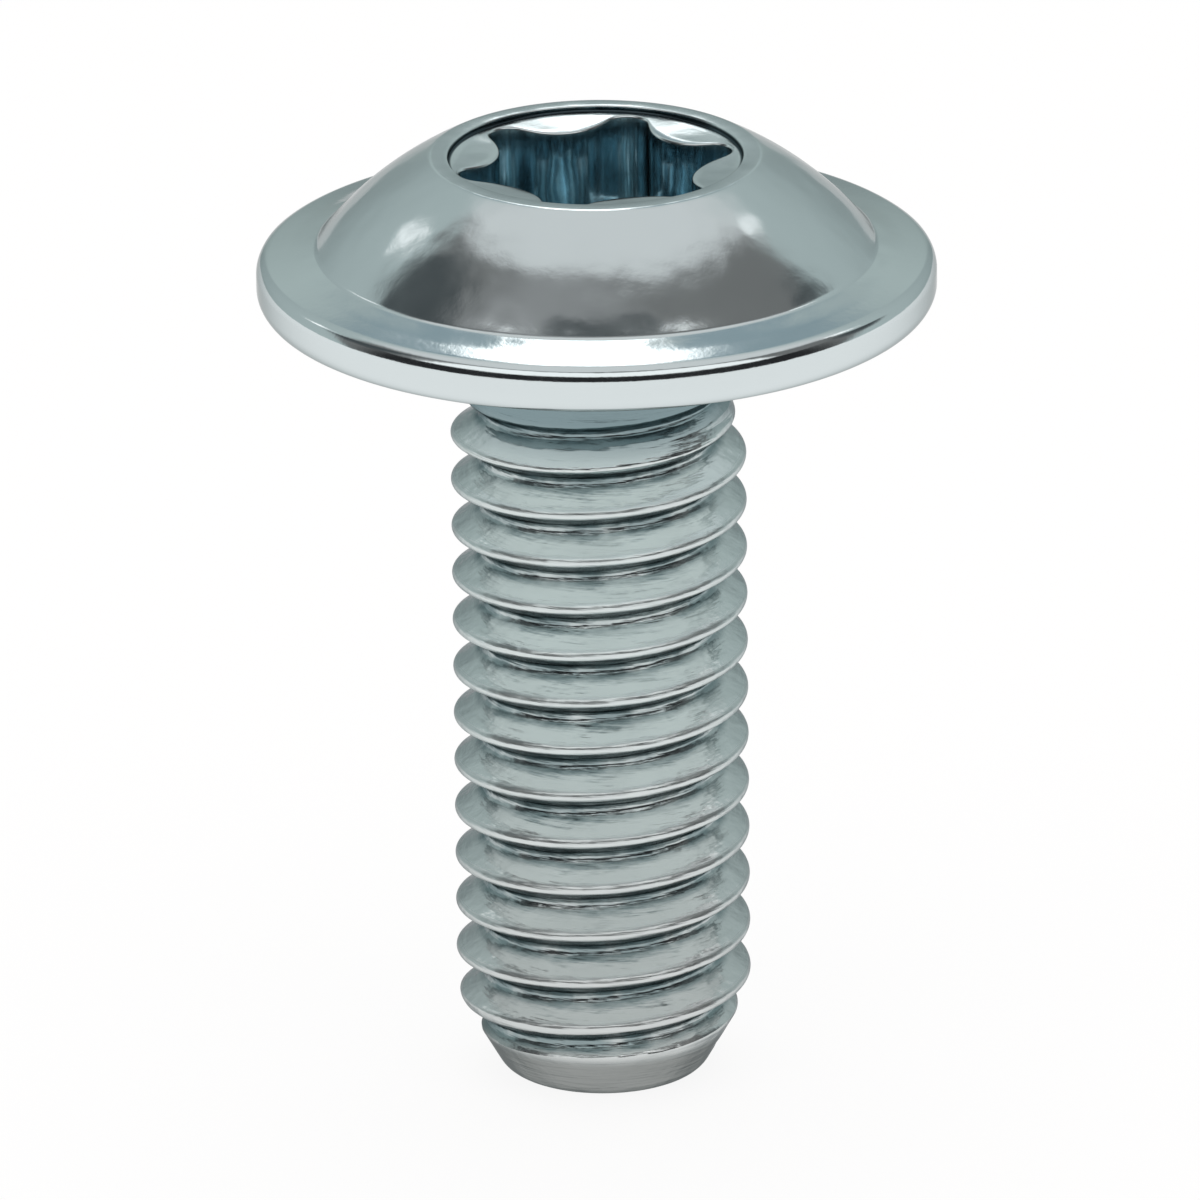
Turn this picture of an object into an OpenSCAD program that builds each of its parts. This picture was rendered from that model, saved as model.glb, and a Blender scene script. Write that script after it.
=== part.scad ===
// Flanged button head screw with a six-lobe drive recess and a rolled metric thread.
// The origin is on the axis, in the plane of the bearing face under the flange. +Z points to the head.

/* [Thread] */
// Length from the bearing face to the end of the shank
shank_len = 16.3; // [8:0.1:25]
// Diameter over the thread crests
thread_d = 5.92; // [5.7:0.02:6.1]
// Distance from one crest to the next
pitch = 1; // [0.75:0.05:1.25]
// Length of the plain neck between the bearing face and the start of the thread
neck_len = 1.15; // [0.8:0.05:3]
// Diameter of the plain neck, the size of the blank before the thread is rolled
neck_d = 5.34; // [5.2:0.02:5.5]
// Turns over which the groove deepens, and over which the crest then rises
runout_turns = 0.7; // [0.4:0.1:1.5]
// Turns by which the crest starts to rise after the groove
crest_lag = 0.55; // [0:0.05:1]
// Angle round the axis at which the thread starts
thread_start = 255; // [0:5:355]

/* [Tip] */
// Diameter of the flat end face
tip_d = 3.4; // [2.8:0.1:4]
// Angle between the tip chamfer and the end face
tip_angle = 60; // [35:1:65]
// Radius between the tip chamfer and the end face
tip_round = 0.5; // [0.2:0.05:0.6]

/* [Head] */
// Height of the head above the bearing face
head_h = 3.1; // [2.9:0.05:3.6]
// Diameter of the flange
flange_d = 13.6; // [13:0.1:15]
// Thickness of the flange at the foot of the dome
flange_t = 1.2; // [1:0.05:1.6]
// Slope of the flange's top, falling towards its rim
flange_slope = 12; // [0:1:14]
// Radius that rounds the upper edge of the flange's rim
rim_r = 0.35; // [0.2:0.05:0.6]
// Radius that rounds the lower edge of the flange's rim
rim_low_r = 0.4; // [0.2:0.05:0.5]
// Diameter of the dome at its foot, before the fillet
dome_d = 11.2; // [10:0.1:11.4]
// Radius of the fillet between the dome and the flange
dome_fillet = 0.2; // [0.1:0.05:0.6]
// Radius of the fillet between the neck and the bearing face
neck_fillet = 0.4; // [0.2:0.05:0.6]

/* [Drive recess] */
// Size of the recess across its lobes
drive_a = 5.6; // [5.3:0.05:5.75]
// Size of the recess across its flutes
drive_b = 4.05; // [3.85:0.05:4.2]
// Radius of the lobe ends
lobe_r = 0.45; // [0.4:0.01:0.5]
// Depth of the recess walls below the top of the head
recess_depth = 2; // [1.6:0.1:2.4]
// Depth of the cone that the punch leaves in the floor
floor_h = 0.4; // [0.2:0.1:0.6]
// Width of the shallow dish outside the lobe ends
dish_w = 0.15; // [0.1:0.05:0.3]
// Depth of the dish's upright edge below the top of the head
dish_h = 0.12; // [0.05:0.01:0.2]
// Slope of the dish, falling towards the recess
dish_angle = 6; // [2:1:15]
// Width of the flat land between the dish and the dome
land_w = 0.35; // [0.1:0.05:0.6]
// Angle round the axis of the first lobe
drive_turn = 15; // [0:1:59]

/* [Hidden] */
$fn = 96;
zinc = [0.66, 0.71, 0.73];
// How far a cutting shape passes through the face that it opens
pass = 0.1;
// Ledge between the recess wall at its flutes and the cone in the floor
floor_inset = 0.1;

flange_r = flange_d / 2;
dome_r = dome_d / 2;
neck_r = neck_d / 2;
thread_r = thread_d / 2;
tip_r = tip_d / 2;
dish_r = drive_a / 2 + dish_w;
land_r = dish_r + land_w;
floor_r = drive_b / 2 - floor_inset;

// The dome is a ball whose centre is on the axis. It passes through its foot and the edge of the land.
ball_z = (head_h ^ 2 + land_r ^ 2 - flange_t ^ 2 - dome_r ^ 2) / (2 * (head_h - flange_t));
ball_r = norm([dome_r, flange_t - ball_z]);
ball_centre = [0, ball_z];

// The flange's top slopes from the dome's foot to where it is tangent to the rounding of the rim.
foot = [dome_r, flange_t];
slope_out = [cos(flange_slope), -sin(flange_slope)];
slope_up = [sin(flange_slope), cos(flange_slope)];
rim_x = flange_r - rim_r;
rim_low_x = flange_r - rim_low_r;
rim_run = (rim_x - dome_r + rim_r * slope_up.x) / slope_out.x;
rim_top = foot + rim_run * slope_out;
// The rounding stands this little proud of the slope, so that the two always meet without a gap.
rim_proud = 0.00001;
rim_z = rim_top.y - rim_r * slope_up.y + rim_proud;

// The fillet round the dome is tangent to the ball and to the flange's top.
fillet_start = foot + dome_fillet * slope_up - ball_centre;
fillet_along = fillet_start * slope_out;
fillet_reach = (ball_r + dome_fillet) ^ 2 - fillet_start * fillet_start;
fillet_run = sqrt(fillet_along ^ 2 + fillet_reach) - fillet_along;
fillet_centre = ball_centre + fillet_start + fillet_run * slope_out;
fillet_on_ball = ball_centre + ball_r / (ball_r + dome_fillet) * (fillet_centre - ball_centre);
fillet_on_flange = foot + fillet_run * slope_out;
fillet_root = foot - dome_fillet / 2 * [1, 1];

// Lobe ends and flutes are arcs that are tangent to each other.
lobe_count = 6;
lobe_step = 360 / lobe_count;
lobe_x = drive_a / 2 - lobe_r;
flute_gap = lobe_x ^ 2 + (drive_b / 2) ^ 2 - lobe_x * drive_b * cos(lobe_step / 2) - lobe_r ^ 2;
flute_r = flute_gap / (2 * (lobe_r - drive_b / 2 + lobe_x * cos(lobe_step / 2)));
flute_x = drive_b / 2 + flute_r;

// One pitch of the basic sixty degree profile: distance down from the start of the ridge, and radius
root_r = thread_r - 5 / 8 * sin(60) * pitch;
ridge = [
    [0, root_r],
    [5 / 16 * pitch, thread_r],
    [7 / 16 * pitch, thread_r],
    [12 / 16 * pitch, root_r]
];
rows = len(ridge);
turn_steps = 36;
turns = ceil((shank_len - neck_len) / pitch) + 1;
steps = turns * turn_steps;
// The thread starts just under the neck's surface, a little way up inside the neck.
start_inset = 0.03;
start_up = 0.4;
start_r = neck_r - start_inset;

function polar(r, a, z) = [r * cos(a), r * sin(a), z];
function on_circle(r, a) = [r * cos(a), r * sin(a)];
function step_angle(s) = thread_start - s * 360 / turn_steps;
function thread_z(s) = -neck_len - pitch * s / turn_steps;
function rise(turn) = max(0, min(1, turn / runout_turns));
function lag(row) = ridge[row].y > start_r ? crest_lag : 0;
function grown_r(s, row) = start_r + (ridge[row].y - start_r) * rise(s / turn_steps - lag(row));
function thread_point(s, row) = polar(grown_r(s, row), step_angle(s), thread_z(s) - ridge[row].x);
function ring(r, z) = [for (s = [0 : turn_steps - 1]) polar(r, step_angle(s), z)];
function at(s, row) = s * rows + row;
function below(s, row) = row < rows - 1 ? at(s, row + 1) : at(s + turn_steps, 0);
function fan(hub, path) = [for (i = [0 : len(path) - 2]) [hub, path[i], path[i + 1]]];

module head_profile() {
    polygon([
        [0, 0],
        [rim_low_x, 0],
        [flange_r, rim_low_r],
        [flange_r, rim_z],
        rim_top,
        foot,
        [0, flange_t]
    ]);
    translate([rim_low_x, rim_low_r])
        circle(rim_low_r);
    translate([rim_x, rim_z])
        circle(rim_r);
    intersection() {
        translate(ball_centre)
            circle(ball_r);
        translate([0, flange_t / 2])
            square([flange_r, head_h - flange_t / 2]);
    }
    difference() {
        polygon([fillet_on_ball, fillet_root, fillet_on_flange, fillet_centre]);
        translate(fillet_centre)
            circle(dome_fillet);
    }
}

module neck_profile() {
    translate([0, -neck_len])
        square([neck_r, neck_len]);
    difference() {
        translate([neck_r, -neck_fillet])
            square(neck_fillet);
        translate([neck_r + neck_fillet, -neck_fillet])
            circle(neck_fillet);
    }
}

// A rod with the ridge wound down it, longer than the shank by a turn or more
module thread_rod() {
    first = steps * rows + rows;
    last = first + turn_steps;
    end = steps - turn_steps;
    points = concat(
        [for (s = [0 : steps]) for (row = [0 : rows - 1]) thread_point(s, row)],
        ring(start_r, start_up - neck_len),
        ring(root_r, thread_z(steps + turn_steps))
    );
    wound = [
        for (s = [0 : steps - 1]) for (row = [0 : rows - 1]) if (row < rows - 1 || s < end)
            each [
                [at(s, row), below(s, row), below(s + 1, row)],
                [at(s, row), below(s + 1, row), at(s + 1, row)]
            ]
    ];
    top_wall = [
        for (s = [0 : turn_steps - 2])
            each [[first + s, at(s, 0), at(s + 1, 0)], [first + s, at(s + 1, 0), first + s + 1]]
    ];
    top_seam = fan(
        at(turn_steps - 1, 0),
        concat(
            [at(turn_steps, 0)],
            [for (row = [rows - 1 : -1 : 0]) at(0, row)],
            [first, first + turn_steps - 1]
        )
    );
    end_wall = [
        for (s = [1 : turn_steps - 1])
            let (a = at(end + s, rows - 1), b = at(end + s + 1, rows - 1))
            let (c = last + s, d = last + (s + 1) % turn_steps)
            each [[a, c, d], [a, d, b]]
    ];
    end_seam = fan(
        at(end + 1, rows - 1),
        concat([at(end, rows - 1)], [for (row = [0 : rows - 1]) at(steps, row)], [last, last + 1])
    );
    caps = [
        [for (s = [0 : turn_steps - 1]) first + s],
        [for (s = [turn_steps - 1 : -1 : 0]) last + s]
    ];
    polyhedron(points, concat(wound, top_wall, top_seam, end_wall, end_seam, caps));
}

// The blank's outline, which cuts the thread to its chamfered end
module shank_blank() {
    wide_r = thread_r + pass;
    round_centre = [tip_r, tip_round - shank_len];
    round_end = round_centre + tip_round * [sin(tip_angle), -cos(tip_angle)];
    rotate_extrude() {
        polygon([
            [0, 0],
            [0, -shank_len],
            [tip_r, -shank_len],
            round_end,
            [wide_r, round_end.y + (wide_r - round_end.x) * tan(tip_angle)],
            [wide_r, 0]
        ]);
        translate(round_centre)
            circle(tip_round);
    }
}

module lobe_outline() {
    difference() {
        polygon([
            for (i = [0 : lobe_count - 1]) for (side = [-1, 1])
                let (c = on_circle(lobe_x, i * lobe_step), f = on_circle(flute_x, (i + side / 2) * lobe_step))
                c + lobe_r / (lobe_r + flute_r) * (f - c)
        ]);
        for (i = [0 : lobe_count - 1])
            translate(on_circle(flute_x, (i + 0.5) * lobe_step))
                circle(flute_r);
    }
    for (i = [0 : lobe_count - 1])
        translate(on_circle(lobe_x, i * lobe_step))
            circle(lobe_r);
}

module drive_recess() {
    floor_z = head_h - recess_depth;
    dish_deep = (dish_r - floor_r) * tan(dish_angle);
    rotate(drive_turn)
        translate([0, 0, floor_z])
            linear_extrude(recess_depth)
                lobe_outline();
    translate([0, 0, floor_z - floor_h]) {
        cylinder(h = floor_h, r1 = 0, r2 = floor_r);
        translate([0, 0, floor_h])
            cylinder(h = pass, r = floor_r);
    }
    translate([0, 0, head_h - dish_h]) {
        cylinder(h = dish_h + pass, r = dish_r);
        translate([0, 0, -dish_deep])
            cylinder(h = dish_deep, r1 = floor_r, r2 = dish_r);
    }
}

module screw() {
    color(zinc)
        difference() {
            union() {
                rotate_extrude() {
                    head_profile();
                    neck_profile();
                }
                intersection() {
                    thread_rod();
                    shank_blank();
                }
            }
            drive_recess();
        }
}

screw();
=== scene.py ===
# Flanged button head screw: one piece of zinc plated steel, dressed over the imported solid.
import math

import bmesh
import bpy
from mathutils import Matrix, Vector


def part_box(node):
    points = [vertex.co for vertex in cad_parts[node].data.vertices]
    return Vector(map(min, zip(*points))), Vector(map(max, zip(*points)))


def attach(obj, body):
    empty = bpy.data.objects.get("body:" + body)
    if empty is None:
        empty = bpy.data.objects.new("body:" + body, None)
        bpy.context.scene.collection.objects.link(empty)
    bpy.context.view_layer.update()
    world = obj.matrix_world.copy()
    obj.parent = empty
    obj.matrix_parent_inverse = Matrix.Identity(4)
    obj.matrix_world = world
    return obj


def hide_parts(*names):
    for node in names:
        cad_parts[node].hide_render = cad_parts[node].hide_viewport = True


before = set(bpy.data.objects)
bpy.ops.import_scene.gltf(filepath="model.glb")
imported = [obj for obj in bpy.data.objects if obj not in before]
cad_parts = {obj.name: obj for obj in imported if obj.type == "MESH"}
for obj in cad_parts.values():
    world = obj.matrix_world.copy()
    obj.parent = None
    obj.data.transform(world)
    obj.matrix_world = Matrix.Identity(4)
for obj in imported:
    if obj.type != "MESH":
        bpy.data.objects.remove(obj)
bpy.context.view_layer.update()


# Shank: the thread is rolled into the headed blank between two dies, which press the grooves in
# and push the metal out into rounded crests. It is a right-hand thread of one millimetre pitch.
# Near the neck the grooves come first and the crests rise later, and the end is rounded off.
MM = 0.001
screw_low, screw_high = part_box("screw")
shank_len = -screw_low.z
crest_r = 2.96 * MM
pitch = 1.0 * MM
neck_r = 2.67 * MM
neck_len = 1.15 * MM
runout_turns = 0.7
crest_lag = 0.55
thread_start = math.radians(255)
tip_r = 1.7 * MM
tip_angle = math.radians(60)
tip_round = 0.5 * MM
root_round = 0.15 * pitch
crest_round = 0.125 * pitch
thread_steps = 144
flank_steps = 5
root_steps = 4
crest_steps = 8
nose_steps = 8
crest_blend = 0.1 * MM
cone_blend = 0.15 * MM
end_inset = 0.3 * MM
join_z = -0.7 * MM
weld = 0.004 * MM


def arc(centre, radius, first, last, count):
    """Points on an arc in the (radius, height) plane, from one angle in degrees to another."""
    turns = [math.radians(first + (last - first) * i / count) for i in range(count + 1)]
    return [(centre[0] + radius * math.cos(a), centre[1] + radius * math.sin(a)) for a in turns]


def draw_outline(name, points):
    """A new object whose mesh is an open outline, drawn point by point in the XZ plane."""
    bpy.ops.object.select_all(action="DESELECT")
    bpy.ops.mesh.primitive_plane_add(size=MM, location=(0, 0, 0))
    piece = bpy.context.object
    piece.name = name
    bpy.ops.object.mode_set(mode="EDIT")
    bpy.ops.mesh.select_mode(type="VERT")
    bpy.ops.mesh.select_all(action="SELECT")
    bpy.ops.mesh.merge(type="CENTER")
    bpy.ops.transform.translate(value=(points[0][0], 0, points[0][1]))
    for here, there in zip(points, points[1:]):
        step = (there[0] - here[0], 0, there[1] - here[1])
        bpy.ops.mesh.extrude_region_move(TRANSFORM_OT_translate={"value": step})
    bpy.ops.object.mode_set(mode="OBJECT")
    return piece


def select_where(piece, kind, test):
    """In edit mode, selects the vertices, edges or faces for which the test holds, and nothing else."""
    bpy.ops.mesh.select_mode(type=kind)
    bpy.ops.mesh.select_all(action="DESELECT")
    mesh = bmesh.from_edit_mesh(piece.data)
    items = {"VERT": mesh.verts, "EDGE": mesh.edges, "FACE": mesh.faces}[kind]
    for item in items:
        if test(item):
            item.select_set(True)
    mesh.select_flush_mode()
    bmesh.update_edit_mesh(piece.data)


def radius_of(point):
    return math.hypot(point.x, point.y)


def smooth(share):
    share = min(1.0, max(0.0, share))
    return share * share * (3 - 2 * share)


def soft_min(a, b, blend):
    """The lesser of two sizes, rounded off over the blend where they cross."""
    near = max(blend - abs(a - b), 0.0) / blend
    return min(a, b) - near * near * blend / 4


def line(first, last, count):
    """Points inside a straight stretch of an outline, without its two ends."""
    shares = [i / count for i in range(1, count)]
    return [(first[0] + (last[0] - first[0]) * s, first[1] + (last[1] - first[1]) * s) for s in shares]


# One pitch of the outline, from the bottom of a groove to the bottom of the next.
root_r = crest_r - math.sin(math.radians(60)) * pitch + root_round + crest_round
crest_down = 0.375
crest_z = -neck_len - (crest_down + thread_start / math.tau) * pitch
turns_below = math.ceil((shank_len + crest_z) / pitch) + 1
outline_low = crest_z - (turns_below + 0.5) * pitch
up_from_groove = arc((root_r + root_round, outline_low), root_round, 180, 120, root_steps)
crest = arc((crest_r - crest_round, outline_low + pitch / 2), crest_round, -60, 60, crest_steps)
down_to_groove = arc((root_r + root_round, outline_low + pitch), root_round, 240, 180, root_steps)
outline = (
    up_from_groove
    + line(up_from_groove[-1], crest[0], flank_steps)
    + crest
    + line(crest[-1], down_to_groove[0], flank_steps)
    + down_to_groove
)
screw = draw_outline("screw_body", outline)
winding = screw.modifiers.new("thread", "SCREW")
winding.axis = "Z"
winding.angle = math.tau
winding.screw_offset = pitch
winding.steps = thread_steps
winding.render_steps = thread_steps
winding.iterations = turns_below + math.ceil(-crest_z / pitch) + 1
winding.use_merge_vertices = True
winding.merge_threshold = weld
bpy.ops.object.modifier_apply(modifier="thread")
bpy.ops.object.mode_set(mode="EDIT")
bpy.ops.mesh.select_all(action="SELECT")
bpy.ops.mesh.remove_doubles(threshold=weld)

# The neck keeps the blank's size, the thread grows out of it, and the end is drawn in to a cone.
round_z = tip_round - shank_len
cone_z = round_z - tip_round * math.cos(tip_angle)
cone_r = tip_r + tip_round * math.sin(tip_angle)
mesh = bmesh.from_edit_mesh(screw.data)
for vert in mesh.verts:
    full = radius_of(vert.co)
    turns_down = (-neck_len - vert.co.z) / pitch
    groove_rise = smooth((turns_down - crest_down / 2) / runout_turns)
    crest_rise = smooth((turns_down - crest_down - crest_lag) / runout_turns)
    in_crest = smooth((full - neck_r) / crest_blend + 0.5)
    rise = groove_rise + (crest_rise - groove_rise) * in_crest
    cone = cone_r + (vert.co.z - cone_z) / math.tan(tip_angle)
    wanted = soft_min(neck_r + (full - neck_r) * rise, cone, cone_blend)
    vert.co.x *= wanted / full
    vert.co.y *= wanted / full
bmesh.update_edit_mesh(screw.data)
for plane_z, normal_z in ((join_z, 1), (cone_z, -1)):
    bpy.ops.mesh.select_all(action="SELECT")
    bpy.ops.mesh.bisect(
        plane_co=(0, 0, plane_z), plane_no=(0, 0, normal_z), clear_outer=True, threshold=weld / 10
    )
bpy.ops.mesh.select_all(action="SELECT")
bpy.ops.mesh.remove_doubles(threshold=weld)

# The rounded nose, turned in from the cut end of the cone to the flat end face.
select_where(screw, "EDGE", lambda e: e.is_boundary and e.verts[0].co.z < -shank_len / 2)
nose = arc((tip_r, round_z), tip_round, math.degrees(tip_angle) - 90, -90, nose_steps)
for here, there in zip(nose, nose[1:]):
    bpy.ops.mesh.extrude_region_move(TRANSFORM_OT_translate={"value": (0, 0, there[1] - here[1])})
    share = there[0] / here[0]
    bpy.ops.transform.resize(value=(share, share, 1), center_override=(0, 0, 0))
bpy.ops.mesh.edge_face_add()
bpy.ops.mesh.inset(thickness=end_inset)
bpy.ops.object.mode_set(mode="OBJECT")


# Head: a low ball-shaped dome on a round flange, cold headed in one die with the shank.
# The flange's top falls to a rounded rim, its flat underside bears on the work, and the dome
# is flattened on top to a narrow land round the drive recess.
head_h = screw_high.z
flange_r = screw_high.x
flange_t = 1.2 * MM
flange_slope = 12
rim_r = 0.35 * MM
rim_low_r = 0.4 * MM
dome_r = 5.6 * MM
dome_fillet = 0.2 * MM
neck_fillet = 0.4 * MM
land_r = 3.3 * MM
neck_overlap = 0.05 * MM
head_steps = 240

ball_z = (head_h**2 + land_r**2 - flange_t**2 - dome_r**2) / (2 * (head_h - flange_t))
ball_r = math.hypot(dome_r, flange_t - ball_z)
ball_centre = Vector((0, ball_z))
foot = Vector((dome_r, flange_t))
slope = math.radians(flange_slope)
slope_out = Vector((math.cos(slope), -math.sin(slope)))
slope_up = Vector((math.sin(slope), math.cos(slope)))
rim_x = flange_r - rim_r
rim_low_x = flange_r - rim_low_r
rim_top = foot + (rim_x - dome_r + rim_r * slope_up.x) / slope_out.x * slope_out
rim_z = rim_top.y - rim_r * slope_up.y
fillet_start = foot + dome_fillet * slope_up - ball_centre
fillet_along = fillet_start.dot(slope_out)
fillet_reach = (ball_r + dome_fillet) ** 2 - fillet_start.dot(fillet_start)
fillet_run = math.sqrt(fillet_along**2 + fillet_reach) - fillet_along
fillet_way = fillet_start + fillet_run * slope_out
foot_angle = math.degrees(math.atan2(fillet_way.y, fillet_way.x))
land_angle = math.degrees(math.atan2(head_h - ball_z, land_r))

# The die leaves the rim's rounding with a faint edge: a tight turn between two slack ones.
edge_low = 37
edge_high = 50
edge_r = 0.04 * MM
rim_angles = (0, edge_low, edge_high, 90 - flange_slope)
turns = [Vector((math.cos(math.radians(a)), math.sin(math.radians(a)))) for a in rim_angles]
bends = [there - here for here, there in zip(turns, turns[1:])]
whole = rim_r * (turns[3] - turns[0]) - edge_r * bends[1]
slack = bends[0].x * bends[2].y - bends[0].y * bends[2].x
low_r = (whole.x * bends[2].y - whole.y * bends[2].x) / slack
high_r = (bends[0].x * whole.y - bends[0].y * whole.x) / slack
rim_bends = ((low_r, 8), (edge_r, 4), (high_r, 8))
rim_edge = []
bend_start = Vector((flange_r, rim_z))
for first, last, out, (bend_r, count) in zip(rim_angles, rim_angles[1:], turns, rim_bends):
    rim_edge += arc(bend_start - bend_r * out, bend_r, first, last, count)[1:]
    bend_start = Vector(rim_edge[-1])

bearing_in = (neck_r + neck_fillet, 0)
bearing_out = (rim_low_x, 0)
outline = (
    [(neck_r, join_z + neck_overlap)]
    + arc((neck_r + neck_fillet, -neck_fillet), neck_fillet, 180, 90, 8)
    + line(bearing_in, bearing_out, 12)
    + arc((rim_low_x, rim_low_r), rim_low_r, -90, 0, 10)
    + rim_edge
    + line(rim_top, foot + fillet_run * slope_out, 4)
    + arc(ball_centre + fillet_way, dome_fillet, 270 - flange_slope, 180 + foot_angle, 8)
    + arc(ball_centre, ball_r, foot_angle, land_angle, 30)[1:]
)
head = draw_outline("head", outline)
bpy.ops.object.mode_set(mode="EDIT")
bpy.ops.mesh.select_all(action="SELECT")
bpy.ops.mesh.spin(steps=head_steps, angle=math.tau, center=(0, 0, 0), axis=(0, 0, 1))
bpy.ops.mesh.select_all(action="SELECT")
bpy.ops.mesh.remove_doubles(threshold=weld)


# Drive recess: punched into the head while it is formed, with six lobes joined by round flutes.
# The punch's shoulder leaves a shallow round dish with an upright edge about the mouth, and its
# point leaves a cone in the floor.
drive_a = 5.6 * MM
drive_b = 4.05 * MM
lobe_r = 0.45 * MM
lobe_count = 6
drive_turn = math.radians(15)
recess_depth = 2 * MM
floor_h = 0.4 * MM
floor_gap = 0.1 * MM
dish_w = 0.15 * MM
floor_r = drive_b / 2 - floor_gap
dish_r = drive_a / 2 + dish_w
dish_h = 0.12 * MM
dish_slope = math.tan(math.radians(6))
lobe_step = math.tau / lobe_count
lobe_x = drive_a / 2 - lobe_r
half_b = drive_b / 2
half_cos = math.cos(lobe_step / 2)
flute_gap = lobe_x**2 + half_b**2 - 2 * lobe_x * half_b * half_cos - lobe_r**2
flute_r = flute_gap / (2 * (lobe_r - half_b + lobe_x * half_cos))
flute_x = half_b + flute_r
floor_z = head_h - recess_depth
meet = lobe_r / (lobe_r + flute_r)
meet_angle = math.atan2(
    meet * flute_x * math.sin(lobe_step / 2),
    lobe_x + meet * (flute_x * half_cos - lobe_x),
)


def recess_wall(angle):
    """Distance from the axis to the recess wall in a direction round the axis."""
    off = abs((angle - drive_turn + lobe_step / 2) % lobe_step - lobe_step / 2)
    if off < meet_angle:
        return lobe_x * math.cos(off) + math.sqrt(lobe_r**2 - (lobe_x * math.sin(off)) ** 2)
    off = lobe_step / 2 - off
    return flute_x * math.cos(off) - math.sqrt(flute_r**2 - (flute_x * math.sin(off)) ** 2)


def dish_z(radius):
    return head_h - dish_h - (dish_r - radius) * dish_slope


def extrude_ring(piece, place):
    """Extrudes the selected loop and moves each new vertex to where place puts its direction."""
    bpy.ops.mesh.extrude_region_move(TRANSFORM_OT_translate={"value": (0, 0, 0)})
    mesh = bmesh.from_edit_mesh(piece.data)
    for vert in mesh.verts:
        if vert.select:
            angle = math.atan2(vert.co.y, vert.co.x)
            radius, height = place(angle)
            vert.co = (radius * math.cos(angle), radius * math.sin(angle), height)
    bmesh.update_edit_mesh(piece.data)


def on_circle(radius, height):
    return lambda angle: (radius, height)


def on_dish(share):
    def place(angle):
        radius = dish_r + (recess_wall(angle) - dish_r) * share
        return radius, dish_z(radius)
    return place


def on_wall(share):
    def place(angle):
        radius = recess_wall(angle)
        top = dish_z(radius)
        return radius, top + (floor_z - top) * share
    return place


def on_floor(share):
    def place(angle):
        wall = recess_wall(angle)
        return wall + (floor_r - wall) * share, floor_z
    return place


def on_cone(share):
    return lambda angle: (floor_r * (1 - share), floor_z - floor_h * share)


select_where(head, "EDGE", lambda e: e.is_boundary and e.verts[0].co.z > flange_t)
extrude_ring(head, on_circle(dish_r, head_h))
for share in (0, 0.25, 0.5, 0.75, 1):
    extrude_ring(head, on_dish(share))
for share in (0.33, 0.67, 1):
    extrude_ring(head, on_wall(share))
for share in (0.5, 1):
    extrude_ring(head, on_floor(share))
for share in (0.3, 0.6, 0.9):
    extrude_ring(head, on_cone(share))
bpy.ops.mesh.edge_face_add()
bpy.ops.mesh.poke()
mesh = bmesh.from_edit_mesh(head.data)
for vert in mesh.verts:
    if radius_of(vert.co) < weld:
        vert.co.z = floor_z - floor_h
bmesh.update_edit_mesh(head.data)


def ring_edge(place):
    """A test for the edges that run along the ring that place gives."""
    def test(edge):
        for vert in edge.verts:
            radius, height = place(math.atan2(vert.co.y, vert.co.x))
            if abs(radius_of(vert.co) - radius) + abs(vert.co.z - height) > weld:
                return False
        return True
    return test


rounded_edges = (
    (on_circle(land_r, head_h), 0.04),
    (on_circle(dish_r, head_h), 0.03),
    (on_dish(0), 0.04),
    (on_wall(0), 0.05),
    (on_wall(1), 0.08),
)
for place, width in rounded_edges:
    select_where(head, "EDGE", ring_edge(place))
    bpy.ops.mesh.bevel(offset=width * MM, segments=3, profile=0.5, affect="EDGES")
bpy.ops.object.mode_set(mode="OBJECT")

# Head and shank are one forging: the neck's two cut ends are bridged.
bpy.ops.object.select_all(action="DESELECT")
head.select_set(True)
screw.select_set(True)
bpy.context.view_layer.objects.active = screw
bpy.ops.object.join()
bpy.ops.object.mode_set(mode="EDIT")
select_where(screw, "EDGE", lambda e: e.is_boundary)
bpy.ops.mesh.bridge_edge_loops()
bpy.ops.mesh.select_all(action="SELECT")
bpy.ops.mesh.normals_make_consistent(inside=False)
bpy.ops.object.mode_set(mode="OBJECT")
bpy.ops.object.shade_smooth_by_angle(angle=math.radians(40))


# Finish: bright zinc plate under a clear blue passivation, glossy and a little wavy from the
# forming. Painted shade darkens the recess, the dish's corner, the neck under the flange, the
# thread's roots and the nose, which is also rougher, and painted highlights streak the recess walls.
# The rolling dies mark the thread.
plate_colour = (0.67, 0.73, 0.74, 1)
thread_colour = (0.7, 0.76, 0.755, 1)
tip_colour = (0.67, 0.7, 0.695, 1)
# Painted shade in the thread's roots.
root_shade_colour = (0.28, 0.35, 0.36, 1)
plate_edge_colour = (0.5, 0.52, 0.52, 1)
thread_edge_colour = (0.3, 0.32, 0.33, 1)
# Painted shade in the recess, darker and bluer than the plate.
recess_shade_colour = (0.38, 0.53, 0.59, 1)
# Painted highlight streaks on the recess walls.
recess_highlight_colour = (0.66, 0.8, 0.85, 1)
# Painted shade on the neck under the flange.
neck_shade_colour = (0.22, 0.3, 0.32, 1)
# Painted shade in the dish's corner about the mouth.
corner_shade_colour = (0.05, 0.07, 0.08, 1)
# Painted shade on the nose, for the shadowed sheet it reflects.
nose_shade_colour = (0.33, 0.345, 0.338, 1)
rough_least = 0.12
rough_most = 0.18
thread_rougher = 0.06
flange_smoother = 0.05
crest_rougher = 0.12
nose_rougher = 0.15
wave_scale = 0.55 / MM
wave_depth = 0.07 * MM
grain_scale = 7 / MM
grain_depth = 0.0015 * MM
dent_scale = 1.3 / MM
dent_depth = 0.06 * MM
roll_depth = 0.028 * MM
# Scale of the blotches in the roots' painted shade.
root_shade_scale = 1.2 / MM
dull_scale = 0.9 / MM

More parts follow.
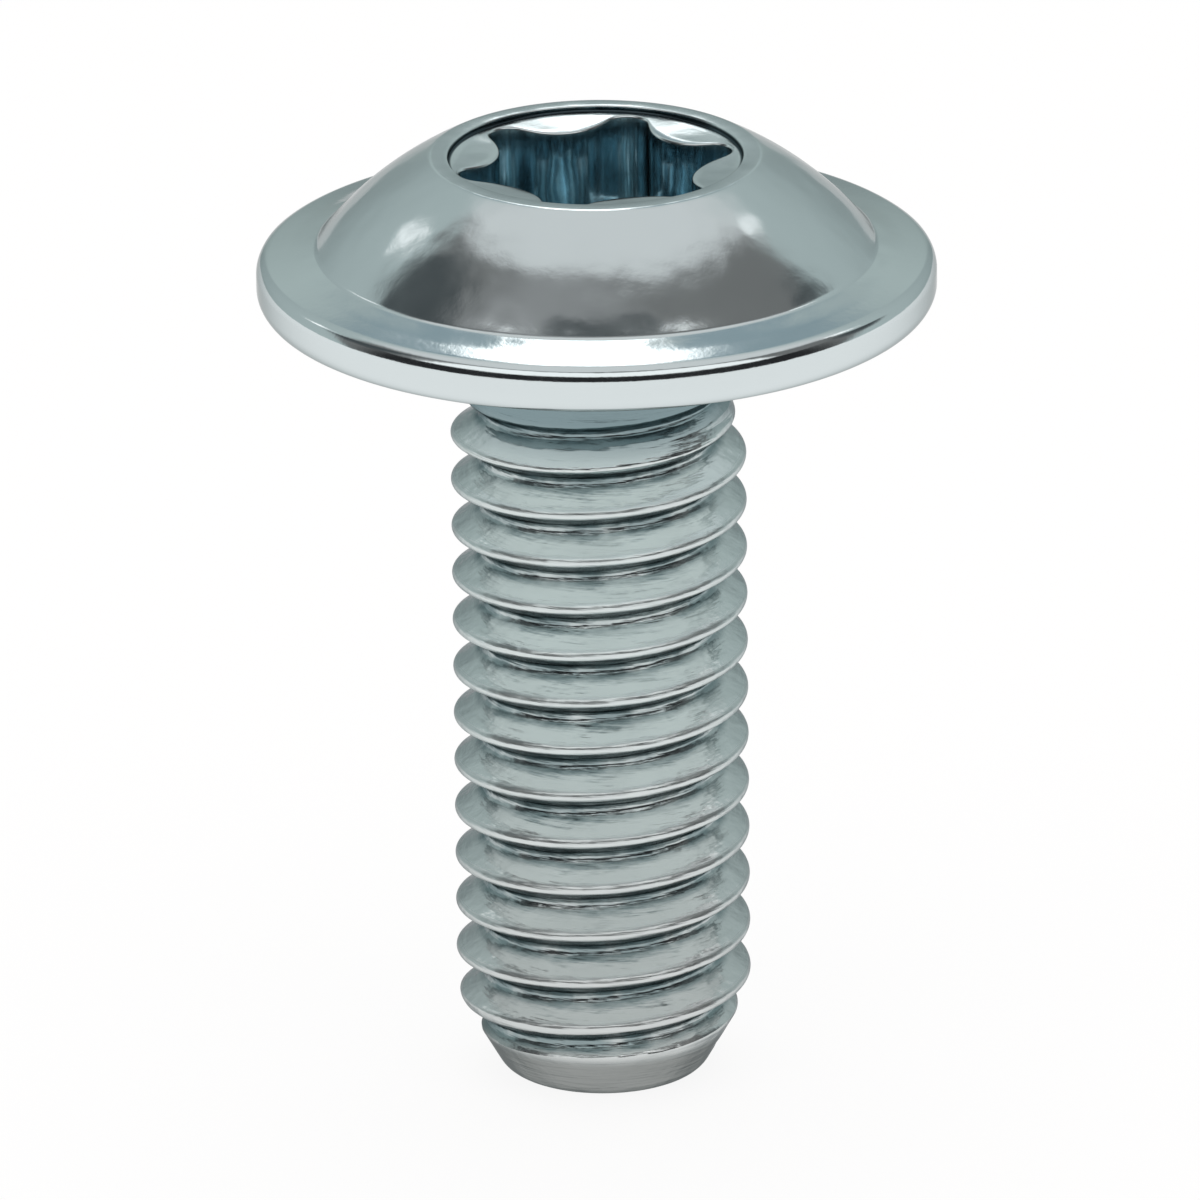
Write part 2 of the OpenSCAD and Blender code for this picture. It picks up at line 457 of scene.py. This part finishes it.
plate = bpy.data.materials.new("zinc_plate")
plate.use_nodes = True
nodes = plate.node_tree.nodes
links = plate.node_tree.links
shader = nodes["Principled BSDF"]
shader.inputs["Metallic"].default_value = 1
place = nodes.new("ShaderNodeTexCoord")
axes = nodes.new("ShaderNodeSeparateXYZ")
links.new(place.outputs["Object"], axes.inputs["Vector"])


def calc(operation, first, second=0):
    node = nodes.new("ShaderNodeMath")
    node.operation = operation
    for socket, value in zip(node.inputs, (first, second)):
        if isinstance(value, (int, float)):
            socket.default_value = value
        else:
            links.new(value, socket)
    return node.outputs["Value"]


def spread(value, low, high, to_low=0, to_high=1):
    node = nodes.new("ShaderNodeMapRange")
    node.interpolation_type = "SMOOTHSTEP"
    links.new(value, node.inputs["Value"])
    for key, number in zip(("From Min", "From Max", "To Min", "To Max"), (low, high, to_low, to_high)):
        node.inputs[key].default_value = number
    return node.outputs["Result"]


def noise(scale, detail, vector=place.outputs["Object"]):
    node = nodes.new("ShaderNodeTexNoise")
    node.inputs["Scale"].default_value = scale
    node.inputs["Detail"].default_value = detail
    links.new(vector, node.inputs["Vector"])
    return node.outputs["Fac"]


def mix_colour(share, first, second):
    node = nodes.new("ShaderNodeMix")
    node.data_type = "RGBA"
    links.new(share, node.inputs["Factor"])
    for socket, value in ((node.inputs[6], first), (node.inputs[7], second)):
        if isinstance(value, tuple):
            socket.default_value = value
        else:
            links.new(value, socket)
    return node.outputs[2]


def bump(height, depth, normal=None):
    node = nodes.new("ShaderNodeBump")
    node.inputs["Strength"].default_value = 1
    node.inputs["Distance"].default_value = depth
    links.new(height, node.inputs["Height"])
    if normal:
        links.new(normal, node.inputs["Normal"])
    return node.outputs["Normal"]


def all_of(first, *others):
    """The product of several shares."""
    for other in others:
        first = calc("MULTIPLY", first, other)
    return first


# Where each part of the finish and of the painted shade lies, as shares from nothing to one by height and
# distance from the axis.
across = calc("POWER", axes.outputs["X"], 2)
along = calc("POWER", axes.outputs["Y"], 2)
off_axis = calc("SQRT", calc("ADD", across, along))
height = axes.outputs["Z"]
dish_low = dish_z(floor_r)
in_recess = all_of(
    spread(off_axis, dish_r - 0.1 * MM, dish_r - 0.2 * MM),
    spread(height, 0.2 * MM, 0.4 * MM),
    spread(height, dish_low, dish_low - 0.1 * MM),
)
on_thread = spread(height, -neck_len, -neck_len - pitch)
on_flange = spread(off_axis, dome_r, dome_r + 0.2 * MM)
# Painted shade in the thread's roots, blotchy by noise, stopping short of the cone.
root_shade_share = all_of(
    spread(off_axis, root_r + 0.22 * MM, root_r + 0.02 * MM),
    on_thread,
    spread(noise(root_shade_scale, 3), 0.35, 0.6, 0.35, 1),
    spread(height, cone_z + 0.4 * MM, cone_z + 0.8 * MM),
)
near_tip = spread(height, -shank_len / 3, -shank_len)
on_nose = spread(height, cone_z + 0.9 * MM, cone_z + 0.5 * MM)
# Painted shade on the neck, under the flange and down to the first turns of the thread.
on_neck = all_of(
    spread(height, -0.05 * MM, -0.2 * MM),
    spread(height, -neck_len - 1.5 * pitch, -neck_len - 0.5 * pitch),
    spread(off_axis, neck_r + 0.2 * MM, neck_r + 0.05 * MM),
)
# Painted shade in the dish's corner, a thin ring just under the mouth.
in_corner = all_of(
    spread(off_axis, dish_r - 0.08 * MM, dish_r - 0.03 * MM),
    spread(off_axis, dish_r + 0.04 * MM, dish_r + 0.01 * MM),
    spread(height, head_h - 0.02 * MM, head_h - 0.06 * MM),
    spread(height, head_h - 0.6 * MM, head_h - 0.4 * MM),
)
on_crest = all_of(spread(off_axis, crest_r - 0.12 * MM, crest_r - 0.03 * MM), on_thread)
colour = mix_colour(on_thread, plate_colour, mix_colour(near_tip, thread_colour, tip_colour))
# Painted shade darkens the thread's roots.
colour = mix_colour(root_shade_share, colour, root_shade_colour)
edge_colour = mix_colour(on_thread, plate_edge_colour, thread_edge_colour)
links.new(edge_colour, shader.inputs["Specular Tint"])
# Painted shade darkens the nose and the cone's end.
colour = mix_colour(on_nose, colour, nose_shade_colour)
# Painted shade darkens the neck under the flange.
colour = mix_colour(on_neck, colour, neck_shade_colour)
# Painted shade darkens the dish's corner.
colour = mix_colour(in_corner, colour, corner_shade_colour)

# Marks of the rolling dies and painted highlight streaks, by angle round the axis and height: the
# dies' marks run round the thread, and the streaks run down the recess walls.
angle = calc("ARCTAN2", axes.outputs["Y"], axes.outputs["X"])


def marks_and_streaks_on(round_scale, height_scale):
    spot = nodes.new("ShaderNodeCombineXYZ")
    links.new(calc("MULTIPLY", calc("COSINE", angle), round_scale), spot.inputs["X"])
    links.new(calc("MULTIPLY", calc("SINE", angle), round_scale), spot.inputs["Y"])
    links.new(calc("MULTIPLY", height, height_scale / MM), spot.inputs["Z"])
    return noise(1, 3, spot.outputs["Vector"])


marks = marks_and_streaks_on(1.5, 9)
# Painted highlight streaks, running down the recess walls.
recess_highlights = all_of(spread(marks_and_streaks_on(3.5, 0.35), 0.45, 0.65), spread(off_axis, floor_r - 0.1 * MM, floor_r))
# Painted shade over the recess, with the painted highlight streaks on its walls.
colour = mix_colour(in_recess, colour, mix_colour(recess_highlights, recess_shade_colour, recess_highlight_colour))
links.new(colour, shader.inputs["Base Color"])
rough = spread(noise(dull_scale, 3), 0.3, 0.7, rough_least, rough_most)
rough = calc("ADD", rough, calc("MULTIPLY", on_thread, thread_rougher))
rough = calc("SUBTRACT", rough, calc("MULTIPLY", on_flange, flange_smoother))
rough = calc("ADD", rough, calc("MULTIPLY", on_crest, crest_rougher))
rough = calc("ADD", rough, calc("MULTIPLY", on_nose, nose_rougher))
links.new(rough, shader.inputs["Roughness"])
calmer_on_flange = spread(off_axis, dome_r, dome_r + 0.6 * MM, 1, 0.15)
waves = bump(all_of(noise(wave_scale, 2), calmer_on_flange), wave_depth)
grain = bump(noise(grain_scale, 2), grain_depth, waves)
dents = bump(all_of(noise(dent_scale, 3), on_thread), dent_depth, grain)
rolled = bump(all_of(marks, on_thread), roll_depth, dents)
links.new(rolled, shader.inputs["Normal"])
screw.data.materials.clear()
screw.data.materials.append(plate)

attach(screw, "root")
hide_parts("screw")


# Stage: a white sheet under the tip and a white floor beyond it, which the camera and the metal both
# see. Round it stands a studio: a soft light overhead, a strip light and a pale backdrop behind the
# screw, a bright panel over a dark band in front, and dark cards and two small lights at the sides.
room_colour = (0.2, 0.2, 0.2, 1)
wall_colour = (0.33, 0.33, 0.335, 1)
backdrop_colour = (0.5, 0.57, 0.57, 1)
low_colour = (0.33, 0.42, 0.46, 1)
flank_colour = (0.62, 0.7, 0.69, 1)
panel_colour = (1.2, 1.2, 1.2, 1)
dark_colour = (0.075, 0.085, 0.09, 1)
ground_colour = (0.025, 0.025, 0.027, 1)
floor_colour = (1, 1, 1, 1)
light_colour = (0.77, 0.78, 0.785, 1)
spot_colour = (1.4, 1.4, 1.4, 1)
strip_colour = (2.5, 2.5, 2.5, 1)
sheet_width = 0.14
sheet_depth = 0.17
sheet_front = 0.07
sheet_colour = (0.95, 0.9, 0.89, 1)
sheet_rough = 0.9
sheet_gloss = 0.1
sheet_white = 0.9
lamp_height = 0.35
lamp_size = 0.5
lamp_power = 1.18
strip_left = 0.012

bpy.ops.object.select_all(action="DESELECT")
bpy.ops.mesh.primitive_plane_add(size=1, location=(0, sheet_depth / 2 - sheet_front, screw_low.z))
bpy.ops.transform.resize(value=(sheet_width, sheet_depth, 1))
floor = bpy.context.object
floor.name = "floor"
paper = bpy.data.materials.new("white_paper")
paper.use_nodes = True
nodes = paper.node_tree.nodes
links = paper.node_tree.links
sheet = nodes["Principled BSDF"]
sheet.inputs["Base Color"].default_value = sheet_colour
sheet.inputs["Roughness"].default_value = sheet_rough
sheet.inputs["Specular IOR Level"].default_value = sheet_gloss
glow = nodes.new("ShaderNodeEmission")
seen = nodes.new("ShaderNodeLightPath")
blend = nodes.new("ShaderNodeMixShader")
shown = calc("MAXIMUM", seen.outputs["Is Camera Ray"], seen.outputs["Is Glossy Ray"])
links.new(calc("MULTIPLY", shown, sheet_white), blend.inputs["Fac"])
links.new(sheet.outputs["BSDF"], blend.inputs[1])
links.new(glow.outputs["Emission"], blend.inputs[2])
links.new(blend.outputs["Shader"], nodes["Material Output"].inputs["Surface"])
floor.data.materials.append(paper)

# The lamp lights the sheet alone, because the metal reflects only the sheet and the studio.
bpy.ops.object.light_add(type="AREA", location=(0, 0, lamp_height))
lamp = bpy.context.object
lamp.name = "lamp"
lamp.data.size = lamp_size
lamp.data.energy = lamp_power
lamp.visible_glossy = False

world = bpy.data.worlds.new("studio")
bpy.context.scene.world = world
world.use_nodes = True
nodes = world.node_tree.nodes
links = world.node_tree.links
place = nodes.new("ShaderNodeTexCoord")


def towards(direction, inner, outer):
    """One inside a cone of directions, falling to nothing between two angles from its axis."""
    node = nodes.new("ShaderNodeVectorMath")
    node.operation = "DOT_PRODUCT"
    links.new(place.outputs["Generated"], node.inputs[0])
    node.inputs[1].default_value = Vector(direction).normalized()
    return spread(node.outputs["Value"], math.cos(math.radians(outer)), math.cos(math.radians(inner)))


heading = nodes.new("ShaderNodeSeparateXYZ")
links.new(place.outputs["Generated"], heading.inputs["Vector"])
side = heading.outputs["X"]
back = heading.outputs["Y"]
up = heading.outputs["Z"]
off_middle = calc("ABSOLUTE", side)
off_strip = calc("ABSOLUTE", calc("ADD", side, strip_left))

# Each zone lies over those before it: where it is, as limits of direction, and its colour.
zones = (
    (towards((-0.3, -0.75, 0.6), 25, 50), wall_colour),
    (all_of(spread(back, -0.38, -0.46), spread(up, 0.95, 0.9)), dark_colour),
    (all_of(spread(back, -0.3, -0.4), spread(up, 0.26, 0.34), spread(up, 0.84, 0.78)), panel_colour),
    (towards((0, 0.883, -0.469), 86, 94), backdrop_colour),
    (
        all_of(
            spread(off_middle, 0.05, 0.12),
            spread(off_middle, 0.3, 0.22),
            spread(up, 0.58, 0.4),
            spread(back, 0.6, 0.75),
        ),
        flank_colour,
    ),
    (towards((-0.766, 0.09, 0.637), 10, 20), dark_colour),
    (towards((0.86, 0.24, 0.45), 5, 14), dark_colour),
    (all_of(towards((0.02, 0.31, 0.95), 26, 34), spread(back, 0.75, 0.35)), light_colour),
    (all_of(spread(up, 0.5, 0.6), spread(off_middle, 0.25, 0.15), spread(back, 0.55, 0.65)), low_colour),
    (all_of(spread(off_strip, 0.1, 0.06), spread(back, 0.5, 0.58), spread(up, 0.48, 0.52)), strip_colour),
    (towards((-0.63, 0.52, 0.58), 1, 5), spot_colour),
    (towards((0.545, 0.42, 0.726), 1, 5), spot_colour),
    (all_of(spread(up, 0.51, 0.45), spread(back, 0.1, -0.3)), ground_colour),
    (spread(up, 0, -0.02), floor_colour),
)
studio = room_colour
for share, zone_colour in zones:
    studio = mix_colour(share, studio, zone_colour)
links.new(studio, nodes["Background"].inputs["Color"])


# Camera: a long lens, looking down on the head from a little under twenty degrees and rolled a
# little, with the middle of the bearing face at the photograph's place in the frame.
camera_distance = 546 * MM
camera_height = math.radians(19.76)
camera_roll = math.radians(0.6)
pixels_per_mm = 50.06
frame_pixels = 1200
bearing_pixel = (598.8, 300.8)
sensor_mm = 36
focal_pixels = pixels_per_mm * camera_distance / MM
bpy.ops.object.camera_add()
camera = bpy.context.object
camera.data.sensor_width = sensor_mm
camera.data.lens = sensor_mm * focal_pixels / frame_pixels
camera.location = (
    0,
    -camera_distance * math.cos(camera_height),
    camera_distance * math.sin(camera_height),
)
aim_down = math.atan((frame_pixels / 2 - bearing_pixel[1]) / focal_pixels)
camera.rotation_euler = (math.pi / 2 - camera_height - aim_down, 0, 0)
camera.rotation_euler.rotate_axis("Z", -camera_roll)
bpy.context.scene.camera = camera
bpy.context.scene.view_settings.view_transform = "Standard"
